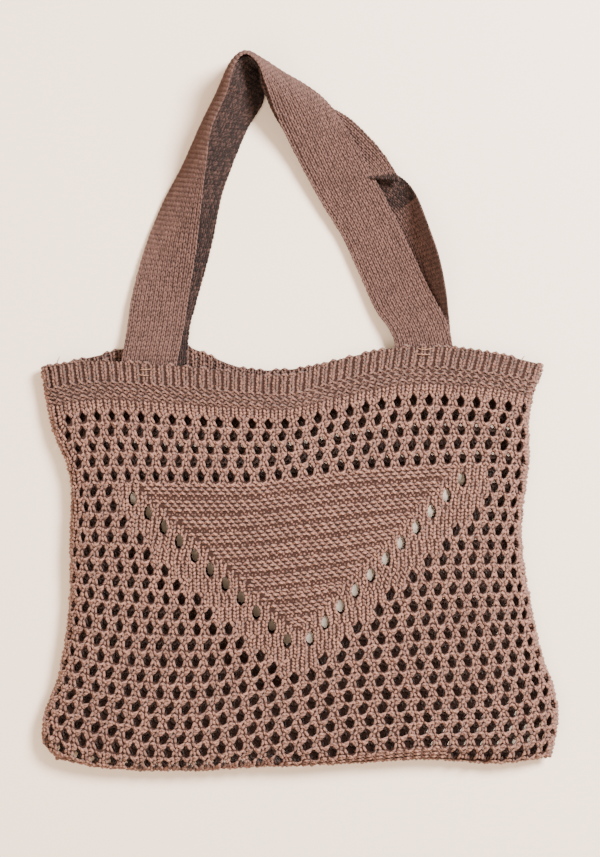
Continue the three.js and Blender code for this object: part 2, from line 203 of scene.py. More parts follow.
BACK_HANDLE = [
    Bend((-134, 23, BACK_END), (-88.5, 23, BACK_END), 0),
    Bend((-131.5, 66, BACK_END), (-86, 66, BACK_END), 0),
    Bend((-125.5, 90.5, 2.5), (-80, 90.5, 1.8), 0),
    Bend((-111, 138, 3), (-68, 135.5, 1.8), 0),
    Bend((-97, 173.5, 10), (-61, 172, 1.8), 0),
    Bend((-83, 200, 20), (-52, 198.5, 1.8), 0),
    Bend((-69, 226.5, 29), (-40.5, 226.5, 1.8), 0),
    Bend((-60, 247, 34), (-31, 242, 1.8), 0),
    Bend((-55, 258, 37), (-27.5, 250, 2), 0),
    Bend((-49.5, 271.5, 39), (-27.5, 262, 3), 0),
    Bend((-40.5, 279, 40), (-31, 273, 3.5), 0),
    Bend((-31, 272, 38), (-22, 270, 3), 0),
    Bend((-29, 258.5, 34), (-11, 263, 2), 0),
    Bend((-24.5, 248.5, 27), (4, 254.5, 2), 0),
    Bend((-18, 233.5, 17), (24, 245, 1.8), 0),
    Bend((3, 205, 3), (41.5, 235.5, 1.8), 0),
    Bend((23, 187, 2), (60.5, 217, 1.8), 0),
    Bend((34, 186, 2), (72, 201, 9), 0),
    Bend((42, 189, 3), (80.5, 184, 16), 0),
    Bend((41, 194, 1.5), (76, 191, 3), 0),
    Bend((52, 166, 1.5), (86, 184, 9), -0.6),
    Bend((66, 151, 2), (94, 171, 17), -1),
    Bend((78, 137, 2), (102.5, 147.5, 25), -1),
    Bend((86, 117, 2), (110.5, 123.5, 27), -1),
    Bend((90, 94, 2), (116, 98.5, 22), -1),
    Bend((83, 76, 3), (119.5, 77, 6), -0.8),
    Bend((78, 61, BACK_END - 0.3), (121.5, 61, BACK_END - 0.2), 0),
    Bend((77.5, 48, BACK_END), (123, 48, BACK_END), 0),
    Bend((78, 33.5, BACK_END), (124, 33.5, BACK_END), 0),
]

# The faces of the handles that show: 1 over or -1 under the cloth as its sections run, and from
# which section to which. Last, painted shade: how far the height that sets its yarn's shade is
# lowered, in millimetres, where it lies in shade under the front handle and under its own fold.
Face = namedtuple("Face", "side start end worn")
FRONT_HANDLE_FACES = [Face(-1, 0, 24, 0)]
BACK_HANDLE_FACES = [
    Face(-1, 0, 13.4, 2.4),
    Face(1, 11, 17.5, 0.1),
    Face(1, 17.5, 21, 2.4),
    Face(1, 21, 28, 0.3),
]
STRAP_WALES = 13
STRAP_COURSE = 4.0

# The sewn edge: length of a stitch, and how far its loop reaches onto the front and the back wall
SEAM_PITCH = 3.3
SEAM_OVER = (5.0, 3.6)
SEAM_UNDER = (4.5, -3.2)
SEAM_LEAN = 1.2
# The seam's direction is found between points this far behind and ahead
SEAM_AHEAD = 6

# Sewing threads on the band: the middle of each patch and its half width, the two threads' places in
# it, and the height of their ends and middles. Loose ends: start, middle and end.
SEWN_PLACES = [(99.5, 50, 7), (-121, 33.5, 5)]
SEWN_THREADS = (-0.7, 0.8)
THREAD = 0.9
THREAD_LOW = 16.4
THREAD_HIGH = 18.2
LOOSE_ENDS = [
    [(-190, 38, 15.5), (-189.5, 42, 16), (-187.5, 45.5, 15)],
    [(176, 39, 15.5), (177, 43.5, 16), (179.5, 46.5, 15)],
]

# Lengths of yarn, as their start, middle and end: across, down and up in a stitch's own cell.
# Across and down are shares of the cell, and up is in yarn widths.
Stroke = namedtuple("Stroke", "start middle end")
KNIT = [
    Stroke((-0.05, 0.72, -0.05), (-0.21, 0.12, 0.3), (-0.4, -0.5, -0.45)),
    Stroke((0.05, 0.72, -0.05), (0.21, 0.12, 0.3), (0.4, -0.5, -0.45)),
]
# Upright ribs of the band, each a narrow column of stitches
RIB = [
    Stroke((-0.06, 0.9, -0.15), (-0.19, 0.1, 0.35), (-0.3, -0.65, -0.4)),
    Stroke((0.06, 0.9, -0.15), (0.19, 0.1, 0.35), (0.3, -0.65, -0.4)),
    Stroke((0.36, 0.3, -0.55), (0.5, -0.15, -0.3), (0.64, 0.3, -0.55)),
]
# Stitches of a handle, each a full V
FINE = [
    Stroke((-0.07, 0.85, -0.05), (-0.22, 0.1, 0.25), (-0.34, -0.6, 0.12)),
    Stroke((0.07, 0.85, -0.05), (0.22, 0.1, 0.25), (0.34, -0.6, 0.12)),
]
# Garter bumps of the band: high arches and the loops between them
RIDGE = [
    Stroke((-0.5, 0.2, -0.15), (0.0, -0.36, 0.6), (0.5, 0.2, -0.15)),
    Stroke((0.05, 0.36, -0.35), (0.5, -0.02, 0.1), (0.95, 0.36, -0.35)),
    Stroke((-0.45, 0.52, -0.35), (0.0, 0.26, 0.15), (0.45, 0.52, -0.35)),
]
PURL = [
    Stroke((-0.55, 0.22, -0.35), (0.0, -0.12, 0.42), (0.55, 0.22, -0.35)),
    Stroke((0.2, 0.1, -0.5), (0.5, 0.5, -0.05), (0.8, 0.1, -0.5)),
]
# One cell of the net, with the hole at its middle
NET = [
    Stroke((-0.05, -0.62, -0.35), (-0.2, -0.36, 0.2), (-0.31, -0.08, -0.3)),
    Stroke((0.08, -0.62, -0.35), (0.21, -0.36, 0.25), (0.31, -0.08, -0.3)),
    Stroke((-0.33, -0.12, -0.3), (-0.3, 0.12, 0.3), (-0.16, 0.4, -0.3)),
    Stroke((0.34, -0.12, -0.3), (0.32, 0.12, 0.3), (0.18, 0.4, -0.3)),
    Stroke((-0.28, 0.36, -0.15), (0.02, 0.6, 0.6), (0.32, 0.28, 0.0)),
    Stroke((0.3, 0.58, -0.3), (0.52, 0.4, 0.5), (0.74, 0.62, -0.3)),
    Stroke((0.41, -0.64, -0.4), (0.49, -0.47, 0.35), (0.57, -0.3, -0.4)),
    Stroke((0.59, -0.32, -0.4), (0.5, -0.15, 0.35), (0.42, 0.02, -0.4)),
    Stroke((0.41, 0.0, -0.4), (0.5, 0.16, 0.35), (0.58, 0.32, -0.4)),
    Stroke((0.2, -0.58, -0.35), (0.3, -0.36, 0.15), (0.38, -0.12, -0.35)),
    Stroke((0.8, -0.56, -0.35), (0.7, -0.34, 0.15), (0.63, -0.1, -0.35)),
]
CAST_OFF = [Stroke((-0.6, 0.5, -0.3), (0.0, -0.35, 0.35), (0.6, 0.5, -0.3))]


def mix(a, b, share):
    return a + (b - a) * share


def smooth_share(x, start, end):
    """0 before start, 1 after end, and smooth between."""
    share = np.clip((x - start) / (end - start), 0, 1)
    return share * share * (3 - 2 * share)


def curve_through(xs, ys, x):
    """The value at each x of a smooth curve through unevenly spaced points.

    ys has one column, or one for each x.
    """
    xs = np.asarray(xs, float)
    ys = np.broadcast_to(np.asarray(ys, float).reshape(len(xs), -1), (len(xs), len(x)))
    each = np.arange(len(x))
    last = len(xs) - 1
    k = np.clip(np.searchsorted(xs, x) - 1, 0, last - 1)

    def slope(i):
        before = np.maximum(i - 1, 0)
        after = np.minimum(i + 1, last)
        return (ys[after, each] - ys[before, each]) / (xs[after] - xs[before])

    span = xs[k + 1] - xs[k]
    u = (x - xs[k]) / span
    rise = (2 * u - 3) * u * u
    level = (1 + rise) * ys[k, each] - rise * ys[k + 1, each]
    return level + span * u * (1 - u) * ((1 - u) * slope(k) - u * slope(k + 1))


def levelled(distance):
    """A quarter-round profile: 0 at an edge, 1 where the wall has levelled out."""
    return np.sqrt(1 - (1 - np.clip(distance, 0, 1)) ** 2)


def seam_row(across):
    return SECTIONS[-1].row + SEAM_ROW_SLANT * across


def depth_of_row(row, across):
    """Place down the wall of a net row, at a place across it."""
    k = np.clip(np.searchsorted(ROWS, row) - 1, 0, len(ROWS) - 2)
    low = ROWS[k]
    high = np.where(k == len(ROWS) - 2, seam_row(across), ROWS[k + 1])
    return mix(DEPTHS[k], DEPTHS[k + 1], (row - low) / (high - low))


def wall_middle(wall, across, row):
    """The middle of a wall's cloth at places across and rows down, as n points."""
    across = np.clip(across, 0, 1)
    down = np.clip(depth_of_row(row, across), 0, 1)
    left = curve_through(DEPTHS, [section.left for section in SECTIONS], down)
    right = curve_through(DEPTHS, [section.right for section in SECTIONS], down)
    edges = [section.y for section in SECTIONS]
    if wall == "back":
        edges[0] = BACK_TOP_EDGE
    heights = np.array([curve_through(STATIONS, edge, across) for edge in edges])
    y = curve_through(DEPTHS, heights, down)
    inset = WALL_THICK / 2
    over_seam = np.maximum(y - heights[-1], 0)
    side = levelled(np.minimum(across, 1 - across) / SIDE_SHOULDER)
    share = side * levelled(over_seam / BOTTOM_SHOULDER)
    fullness = smooth_share(down, *FULLNESS)
    crown = mix(1, CROWN_SIDES + CROWN_RISE * np.sin(np.pi * across), fullness)
    if wall == "front":
        level = mix(MOUTH_HEIGHT, BODY_HEIGHT * crown, fullness) - WALL_THICK / 2
        z = mix(SEAM_HEIGHT + GAP / 2, level, share)
    else:
        z = mix(SEAM_HEIGHT - GAP / 2, WALL_THICK / 2, share)
    x = mix(left + inset, right - inset, across)
    return np.stack([x, np.maximum(y, heights[-1]) + inset * down, z], axis=-1)


def along_curve(points, place):
    """Places along an open Catmull-Rom curve, where a place is a section's number and a share."""
    points = np.asarray(points, float)
    padded = np.vstack([2 * points[0] - points[1], points, 2 * points[-1] - points[-2]])
    k = np.clip(np.floor(place).astype(int), 0, len(points) - 2)
    u = (place - k)[:, None]
    p0, p1, p2, p3 = (padded[k + i] for i in range(4))
    straight = (p2 - p0) * u
    bend = (2 * p0 - 5 * p1 + 4 * p2 - p3) * u**2
    turn = (3 * p1 - p0 - 3 * p2 + p3) * u**3
    return p1 + (straight + bend + turn) / 2


def strap_middle(sections, across, place):
    """The middle of a strap's cloth, from its left edge to its right one, at places along its sections."""
    left = along_curve([section.left for section in sections], place)
    right = along_curve([section.right for section in sections], place)
    curl = np.interp(place, np.arange(len(sections)), [section.curl for section in sections])[:, None]
    upright = np.where(curl > 0, left, right)
    corner = upright.copy()
    corner[:, 2] = np.where(curl > 0, right, left)[:, 2]
    control = mix((left + right) / 2, corner, np.abs(curl))
    u = across[:, None]
    return (1 - u) ** 2 * left + 2 * u * (1 - u) * control + u**2 * right


# Steps across and down by which the normals of a surface are found
FINE_STEPS = (1e-3, 1e-2)
STRAP_STEPS = (0.02, 0.02)


def with_normals(surface, across, down, steps):
    """Points of a surface and its upward normals, by small steps either way."""
    step_across, step_down = steps
    middle = surface(across, down)
    right = surface(across + step_across, down) - surface(across - step_across, down)
    below = surface(across, down + step_down) - surface(across, down - step_down)
    normals = np.cross(below, right)
    return middle, normals / np.maximum(np.linalg.norm(normals, axis=-1, keepdims=True), 1e-9)


# Meshes


def placed(name, data):
    """A new object in the scene."""
    made = bpy.data.objects.new(name, data)
    bpy.context.scene.collection.objects.link(made)
    return made


def make_object(name, points, loops, sizes, material, slot, uv=None, shade=None):
    """An object from points in millimetres and faces as one run of corners, cut into the given sizes."""
    mesh = bpy.data.meshes.new(name)
    points = (np.asarray(points, float) + TABLE_SHIFT) * MM
    mesh.vertices.add(len(points))
    mesh.vertices.foreach_set("co", points.astype(np.float32).ravel())
    mesh.loops.add(len(loops))
    mesh.loops.foreach_set("vertex_index", np.asarray(loops, np.int32))
    starts = np.concatenate([[0], np.cumsum(sizes)[:-1]])
    mesh.polygons.add(len(sizes))
    mesh.polygons.foreach_set("loop_start", starts.astype(np.int32))
    mesh.polygons.foreach_set("use_smooth", np.ones(len(sizes), bool))
    mesh.update(calc_edges=True)
    if uv is not None:
        layer = mesh.uv_layers.new(name="yarn")
        layer.data.foreach_set("uv", uv.astype(np.float32).ravel())
    if shade is not None:
        attribute = mesh.attributes.new("shade", "FLOAT", "POINT")
        attribute.data.foreach_set("value", shade.astype(np.float32))
    mesh.materials.append(material)
    piece = placed(name, mesh)
    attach(piece, "root")
    return piece


# Places along a length of yarn: its first tip, three rings and last tip. SWELL: widths of the rings.
SAMPLES = np.array([0.0, 0.16, 0.5, 0.84, 1.0])
SWELL = np.array([0.72, 1.0, 0.72])
# Painted shade: the yarn's shade comes from its height over the cloth, in yarn widths, darker where it lies
# deep, and partly from chance, a tone that differs at random
SHADE_FROM = -0.35
SHADE_SPAN = 1.45
SHADE_BY_CHANCE = 0.3


def arc(values, t):
    """A curved line from the first to the third value, through the second halfway."""
    start, middle, end = values
    control = 2 * middle - (start + end) / 2
    return (1 - t) ** 2 * start + 2 * t * (1 - t) * control + t**2 * end


def yarn_faces(sides):
    """One length's faces: their corners, how many each has, and the place of each corner on the yarn."""
    here = np.arange(sides)

    def ring(number, beside):
        """The corners on a ring, or those one side onward, with their places along and round the yarn."""
        points = number * sides + (here + beside) % sides
        return points, np.full(sides, SAMPLES[number + 1]), (here + beside) / sides

    def tip(number, along):
        return np.full(sides, 3 * sides + number), np.full(sides, along), here / sides + 0.5 / sides

    faces = [
        [ring(0, 0), ring(0, 1), ring(1, 1), ring(1, 0)],
        [ring(1, 0), ring(1, 1), ring(2, 1), ring(2, 0)],
        [tip(0, 0.0), ring(0, 1), ring(0, 0)],
        [tip(1, 1.0), ring(2, 0), ring(2, 1)],
    ]
    corners, along, turned = (
        np.concatenate([np.stack(values, -1).ravel() for values in found])
        for found in zip(*[zip(*face) for face in faces])
    )
    return corners, np.repeat([len(face) for face in faces], sides), np.stack([along, turned], -1)


def yarn_lengths(name, ends, ups, lifts, across_yarn, through_yarn, sides, material, slot):
    """Short lengths of yarn with closed, rounded ends.

    ends: start, middle and end of each, n x 3 x 3. ups: the cloth's normal at each.
    lifts: heights of the three above the cloth, from which yarn deep in the cloth gets a darker painted
    shade.
    across_yarn, through_yarn: their widths along the cloth and through it.
    """
    count = len(ends)
    line = arc([ends[:, i, None] for i in range(3)], SAMPLES[None, :, None])
    tangent = line[:, 2:] - line[:, :-2]
    tangent /= np.linalg.norm(tangent, axis=-1, keepdims=True)
    beside = np.cross(tangent, ups[:, None])
    beside /= np.maximum(np.linalg.norm(beside, axis=-1, keepdims=True), 1e-9)
    above = np.cross(beside, tangent)
    turn = 2 * np.pi * (np.arange(sides) + 0.5) / sides
    size = rng.normal(1, 0.05, (count, 1, 1, 1)) * SWELL[None, :, None, None] / 2
    ring = (
        beside[:, :, None] * np.cos(turn)[None, None, :, None] * across_yarn
        + above[:, :, None] * np.sin(turn)[None, None, :, None] * through_yarn
    )
    rings = line[:, 1:-1, None] + ring * size
    points = np.concatenate([rings.reshape(count, 3 * sides, 3), line[:, [0, -1]]], axis=1)

    corners, corner_counts, places = yarn_faces(sides)
    loops = (corners[None] + points.shape[1] * np.arange(count)[:, None]).ravel()
    length = np.linalg.norm(ends[:, 2] - ends[:, 0], axis=-1)
    offset = rng.uniform(0, 9, count)
    uv = np.repeat(places[None], count, axis=0)
    uv[:, :, 0] = uv[:, :, 0] * length[:, None] + offset[:, None]

    # Painted shade from each corner's height over the cloth, darker low between the stitches, with a random
    # share of tone
    height = arc([lifts[:, i, None] for i in range(3)], SAMPLES[None])
    round_up = ((ring * size) * ups[:, None, None]).sum(-1)
    ring_height = (height[:, 1:-1, None] + round_up).reshape(count, -1)
    height = np.concatenate([ring_height, height[:, [0, -1]]], 1)
    relief = np.clip((height / through_yarn - SHADE_FROM) / SHADE_SPAN, 0, 1)
    chance = rng.uniform(0, 1, (count, 1))
    shade = ((1 - SHADE_BY_CHANCE) * relief + SHADE_BY_CHANCE * chance).ravel()
    return make_object(
        name,
        points.reshape(-1, 3),
        loops,
        np.tile(corner_counts, count),
        material,
        slot,
        uv.reshape(-1, 2),
        shade,
    )


def ground_cloth(name, surface, across, down, thickness, material, slot):
    """A thin closed sheet round a surface's grid of places."""
    grid_across, grid_down = np.meshgrid(across, down)
    shape = grid_across.shape
    middle, normals = with_normals(surface, grid_across.ravel(), grid_down.ravel(), FINE_STEPS)
    count = len(middle)
    points = np.concatenate([middle + normals * thickness / 2, middle - normals * thickness / 2])
    number = np.arange(count).reshape(shape)
    a, b = number[:-1, :-1].ravel(), number[:-1, 1:].ravel()
    c, d = number[1:, 1:].ravel(), number[1:, :-1].ravel()
    top = np.stack([a, d, c, b], -1)
    bottom = np.stack([a, b, c, d], -1) + count
    rim = np.concatenate([number[0, :], number[1:, -1], number[-1, -2::-1], number[-2:0:-1, 0]])
    onward = np.roll(rim, -1)
    edge = np.stack([rim, onward, onward + count, rim + count], -1)
    faces = np.concatenate([top, bottom, edge])
    return make_object(name, points, faces.ravel(), np.full(len(faces), 4), material, slot)


# Corners of a cut opening, and the heights that the cutters span
HOLE_CORNERS = 8
CUT_FROM = -12.0
CUT_TO = 60.0


def cut_holes(piece, openings):
    """Cuts upright openings through a ground cloth, in one cut."""
    count = len(openings)
    sides = HOLE_CORNERS
    x, y, half_width, half_length, slant, power = (column[:, None] for column in openings.T)
    turn = 2 * np.pi * np.arange(sides)[None] / sides
    bend = np.where(np.sin(turn) > 0, power, power + LOWER_BULGE)
    across = np.sign(np.cos(turn)) * np.abs(np.cos(turn)) ** (2 / bend)
    up = np.sign(np.sin(turn)) * np.abs(np.sin(turn)) ** (2 / bend) * half_length
    outline = np.stack([x + across * half_width + slant * up, y + up, 0 * up], -1)
    low = outline + [0, 0, CUT_FROM]
    high = outline + [0, 0, CUT_TO]
    points = np.concatenate([low, high], axis=1).reshape(-1, 3)
    here = np.arange(sides)
    onward = (here + 1) % sides
    walls = np.stack([here, onward, onward + sides, here + sides], -1).ravel()
    one = np.concatenate([walls, here[::-1], here + sides])
    one_sizes = np.concatenate([np.full(sides, 4), [sides, sides]])
    loops = (one[None] + 2 * sides * np.arange(count)[:, None]).ravel()
    mesh = bpy.data.meshes.new("cutters")
    mesh.from_pydata(
        ((points + TABLE_SHIFT) * MM).tolist(),
        [],
        [face.tolist() for face in np.split(loops, np.cumsum(np.tile(one_sizes, count))[:-1])],
    )
    cutters = placed("cutters", mesh)
    cut = piece.modifiers.new("net", "BOOLEAN")
    cut.object = cutters
    cut.operation = "DIFFERENCE"
    cut.solver = "MANIFOLD"
    view = bpy.context.evaluated_depsgraph_get()
    pierced = bpy.data.meshes.new_from_object(piece.evaluated_get(view))
    piece.modifiers.remove(cut)
    piece.data = pierced
    bpy.data.objects.remove(cutters)


# The stitches of a wall


def table_place(columns, column):
    """The place across of a column, also of one beyond the table's ends."""
    numbers, across = columns
    if numbers[0] <= column <= numbers[-1]:
        return float(np.interp(column, numbers, across))
    end, beside = (0, 1) if column < numbers[0] else (-1, -2)
    step = (across[end] - across[beside]) / (numbers[end] - numbers[beside])
    return across[end] + (column - numbers[end]) * step


def place_across(column, row):
    """The place across of a column of the net, at a row."""
    if row <= TRIANGLE_TOP:
        return table_place(HIGH_COLUMNS, column)
    place = table_place(LOW_COLUMNS, column)
    if column < MIDDLE_COLUMN - 1:
        return place + LEFT_SHIFT * (1 - float(smooth_share(row, *LEFT_SHIFT_ROWS)))
    return place + RIGHT_SHIFT * (1 - float(smooth_share(row, *RIGHT_SHIFT_ROWS)))


def net_columns(row):
    """The net's columns at a row: those left of the triangle, and those right of it."""
    left_end = right_start = MIDDLE_COLUMN
    if TRIANGLE_TOP < row < TRIANGLE_BOTTOM:
        rows_in = row - int(TRIANGLE_TOP)
        left_end = max(2, rows_in)
        right_start = LAST_COLUMN - max(3, rows_in)
    return list(range(FIRST_COLUMN, left_end)), list(range(right_start, LAST_COLUMN + 1))


def lean_of(net_row):
    return LEAN if net_row % 2 else -LEAN


def cells_of_row(wall, net_row):
    """The net's cells in a row: column, place across of both sides, and whether a hole fits in."""
    aside = NET_ASIDE[wall]
    for column in sum(net_columns(net_row), []):
        start = place_across(column + aside - 0.5, net_row) + lean_of(net_row)
        end = place_across(column + aside + 0.5, net_row) + lean_of(net_row)
        fits = net_row + aside + HOLE_ROOM < seam_row(start) and end < HOLE_LIMIT
        yield column, start, end, fits


def hole_cells(wall):
    """Every net hole: place across, row, and the width and height of its cell."""
    cells = []
    aside = NET_ASIDE[wall]
    for row in range(1, LAST_ROW + 1):
        for column, _, _, fits in cells_of_row(wall, row):
            place = place_across(column + aside, row) + lean_of(row)
            width = place_across(column + 0.5, row) - place_across(column - 0.5, row)
            if fits:
                cells.append((place, row + aside, width, 1.0))
    return np.array(cells, float)


def hole_sizes(cells):
    """Width and length of the hole in each cell."""
    rows = [sizes.row for sizes in HOLE_SIZES]
    places = np.arange(len(HOLE_PLACES))
    share = np.interp(cells[:, 0], HOLE_PLACES, places)
    low = np.minimum(share.astype(int), places[-2])
    each = np.arange(len(cells))
    found = []
    for name in ("widths", "lengths"):
        table = np.array([getattr(sizes, name) for sizes in HOLE_SIZES])
        at_row = np.array([np.interp(cells[:, 1], rows, table[:, i]) for i in places])
        found.append(mix(at_row[low, each], at_row[low + 1, each], share - low))
    return found


def eyelet_places():
    return np.array(
        [
            np.array(line.start) + (np.array(line.end) - line.start) * i / (EYELETS_A_SIDE - 1)
            for line in EYELET_LINES
            for i in range(EYELETS_A_SIDE)
        ]
    )


def within_triangle(x, y):
    """How far a place lies inside the lines of eyelets, across the bag."""
    left, right = (
        line.start[0] + (y - line.start[1]) * (line.end[0] - line.start[0]) / (line.end[1] - line.start[1])
        for line in EYELET_LINES
    )
    return min(x - left, right - x)


def span_of_stitches(start, end, row, width, height):
    """Stitches side by side from one place across to another."""
    count = max(int(round((end - start) / width)), 1)
    step = (end - start) / count
    return [(start + (i + 0.5) * step, row, step, height) for i in range(count)]


def band_cells(cells):
    """Adds the stitches of the band above the net."""
    for band in BANDS:
        height = (band.bottom - band.top) / band.count
        for j in range(band.count):
            row = band.top + (j + 0.5) * height
            shift = WALE / 2 if band.kind == "ridge" and j % 2 else 0
            start = place_across(FIRST_COLUMN - 0.5, 0) - WALE + shift
            end = place_across(LAST_COLUMN + 0.5, 0)
            cells[band.kind] += span_of_stitches(start, end, row, WALE, height)
    cells["cast_off"] += span_of_stitches(*CAST_OFF_SPAN, TOP_ROW + 0.1, WALE, 0.3)


def triangle_cells(cells, wall, start, end, row, height, shift, is_last):
    """Adds one course of the triangle: plain knitting beside the eyelets, and purl or a groove inside."""
    for cell in span_of_stitches(start, end, row, WALE * PURL_WIDTH, height):
        at = wall_middle(wall, np.array([cell[0]]), np.array([row]))[0]
        if within_triangle(at[0], at[1]) < EYELET_BORDER:
            cells["knit"].append(cell)
        elif is_last:
            cells["groove"].append(cell)
        else:
            cells["purl"].append((cell[0] + shift * cell[2], *cell[1:]))


def wall_cells(wall, courses):
    """The cells of a wall's stitches by kind: place across, row, width and height."""
    cells = {kind: [] for kind in ("rib", "ridge", "knit", "purl", "groove", "net", "cast_off")}
    band_cells(cells)
    aside = NET_ASIDE[wall]
    height = 1 / courses
    for net_row in range(1, LAST_ROW + 1):
        left, right = net_columns(net_row)
        lean = lean_of(net_row)
        row = net_row + aside
        for _, start, end, fits in cells_of_row(wall, net_row):
            if fits:
                cells["net"].append(((start + end) / 2, row, end - start, 1.0))
                continue
            end = min(end, WALL_END)
            for course in range(EDGE_COURSES):
                at_row = row - 0.5 + (course + 0.5) / EDGE_COURSES
                cells["purl"] += span_of_stitches(start, end, at_row, WALE, 1 / EDGE_COURSES)
        for course in range(courses):
            row = net_row + aside - 0.5 + (course + 0.5) * height
            first = place_across(left[0] + aside - KNIT_BEFORE, row) + lean
            final = place_across(right[-1] + aside + 0.5, row) + lean
            cells["knit"] += span_of_stitches(WALL_START, first, row, WALE, height)
            cells["knit"] += span_of_stitches(min(final, LAST_START), WALL_END, row, WALE, height)
            if TRIANGLE_TOP < net_row < TRIANGLE_BOTTOM:
                start = place_across(left[-1] + aside + KNIT_AFTER, row) + lean
                end = place_across(right[0] + aside - KNIT_BEFORE, row) + lean
                shift = 0.5 if course % 2 else 0
                triangle_cells(cells, wall, start, end, row, height, shift, course == courses - 1)
    return {
        kind: np.array([c for c in found if c[1] < seam_row(c[0]) - 0.1 and 0 < c[0] < 1], float)
        for kind, found in cells.items()
    }


def strokes_on(cells, strokes, yarn, sink=0.0, slants=None):
    """Places of the strokes in the cells: across, row and height, as n x 3 x 3.

    sink: how far they lie deeper, in yarn widths. slants: of even and odd rows.
    """
    shape = np.array([[stroke.start, stroke.middle, stroke.end] for stroke in strokes])[None]
    slant = 0.0
    if slants is not None:
        slant = np.where(np.floor(cells[:, 1]) % 2 == 0, *slants)[:, None, None]
    width = cells[:, 2, None, None]
    height = cells[:, 3, None, None]
    out = np.empty((len(cells), len(strokes), 3, 3))
    out[..., 0] = cells[:, 0, None, None] + (shape[..., 0] + slant * shape[..., 1]) * width
    out[..., 1] = cells[:, 1, None, None] + shape[..., 1] * height
    out[..., 2] = (shape[..., 2] - sink) * yarn
    return out.reshape(-1, 3, 3)


def laid_on(surface, places, steps):
    """The strokes' places as points over a surface, and the surface's normal at each one's middle."""
    flat = places.reshape(-1, 3)
    middle, normals = with_normals(surface, flat[:, 0], flat[:, 1], steps)
    points = middle + normals * flat[:, 2, None]
    return points.reshape(-1, 3, 3), normals.reshape(-1, 3, 3)[:, 1]


def pushed_aside(points, openings):
    """Lengths of yarn that lie in an upright opening move sideways to its rim.

    points: start, middle and end of each. The whole length goes to its middle's side of the opening.
    """
    moved = points.copy()
    for x, y, half_width, half_length, slant, power in openings:
        off = np.abs(points[:, 1, :2] - (x, y))
        near = np.flatnonzero((off[:, 0] < 3 * half_width) & (off[:, 1] < 2 * half_length))
        up = moved[near, :, 1] - y
        across = moved[near, :, 0] - x - slant * up
        bend = np.where(up > 0, power, power + LOWER_BULGE)
        rim = np.clip(1 - np.abs(up / half_length) ** bend, 0, None) ** (1 / bend) * half_width
        side = np.where(across < 0, -1.0, 1.0)
        side = np.where(rim[:, 1:2] > 0, side[:, 1:2], side)
        new = np.where(rim > 0, np.maximum(across * side, rim) * side, across)
        moved[near, :, 0] = new + x + slant * up
    return moved


def openings_of(wall):
    """Every opening in a wall: middle x and y, half width, half length, slant, and its outline's power."""
    holes = hole_cells(wall)
    widths, lengths = hole_sizes(holes)
    middles = wall_middle(wall, holes[:, 0], holes[:, 1])
    slants = np.where(np.floor(holes[:, 1]) % 2 == 0, *SLANTS)
    share = HOLE_SHARES[wall] / 2
    powers = np.full(len(holes), NET_POWER)
    net = [middles[:, 0], middles[:, 1], widths * share, lengths * share, -slants, powers]
    half_eyelet = (EYELET_SIZE[0] / 2, EYELET_SIZE[1] / 2)
    eyelets = [(x, y, *half_eyelet, 0, EYELET_POWER) for x, y in eyelet_places()]
    return np.concatenate([np.stack(net, -1), eyelets])


# The middle of the yarn stays these shares of its width outside an opening, sideways and lengthwise
RIM_ASIDE = 0.45
RIM_ALONG = 0.3
# The net's yarn is two pieces, parted at this row, and that of the hidden wall has fewer lengths
NET_PARTED = 14
HIDDEN_NET = NET[:7]
GROOVE_SINK = 0.4


def stitched_wall(wall, courses, sides, band_material, net_material):
    """The yarn of a wall's stitches, in a few pieces."""
    surface = partial(wall_middle, wall)
    rims = openings_of(wall) + (0, 0, RIM_ASIDE * YARN, RIM_ALONG * YARN, 0, 0)
    cells = wall_cells(wall, courses)
    net_cell = NET if wall == "front" else HIDDEN_NET
    is_low = cells["net"][:, 1] > NET_PARTED

    def laid(kind, strokes, **more):
        return strokes_on(cells[kind], strokes, YARN, **more)

    kinds = {
        "band": np.concatenate([laid("cast_off", CAST_OFF), laid("rib", RIB), laid("ridge", RIDGE)]),
        "knit": laid("knit", KNIT),
        "net_high": strokes_on(cells["net"][~is_low], net_cell, YARN, slants=SLANTS),
        "net_low": strokes_on(cells["net"][is_low], net_cell, YARN, slants=SLANTS),
        "purl": np.concatenate([laid("purl", PURL), laid("groove", KNIT, sink=GROOVE_SINK)]),
    }
    pieces = []
    for name, places in kinds.items():
        places = places + rng.normal(0, 1, places.shape) * WALL_JITTER
        points, ups = laid_on(surface, places, FINE_STEPS)
        points = pushed_aside(points, rims)
        points[..., 2] = np.maximum(points[..., 2], WALL_YARN_LOWEST)
        material = band_material if name == "band" else net_material
        lifts = places[..., 2]
        piece = f"{wall}_{name}"
        pieces.append(yarn_lengths(piece, points, ups, lifts, YARN, YARN, sides, material, "body_yarn"))
    return pieces


def runs_along(line):
    """The length of a line of points up to each of them."""
    return np.concatenate([[0], np.cumsum(np.linalg.norm(np.diff(line, axis=0), axis=1))])


def points_at(at, run, line):
    return np.stack([np.interp(at, run, line[:, i]) for i in range(3)], -1)


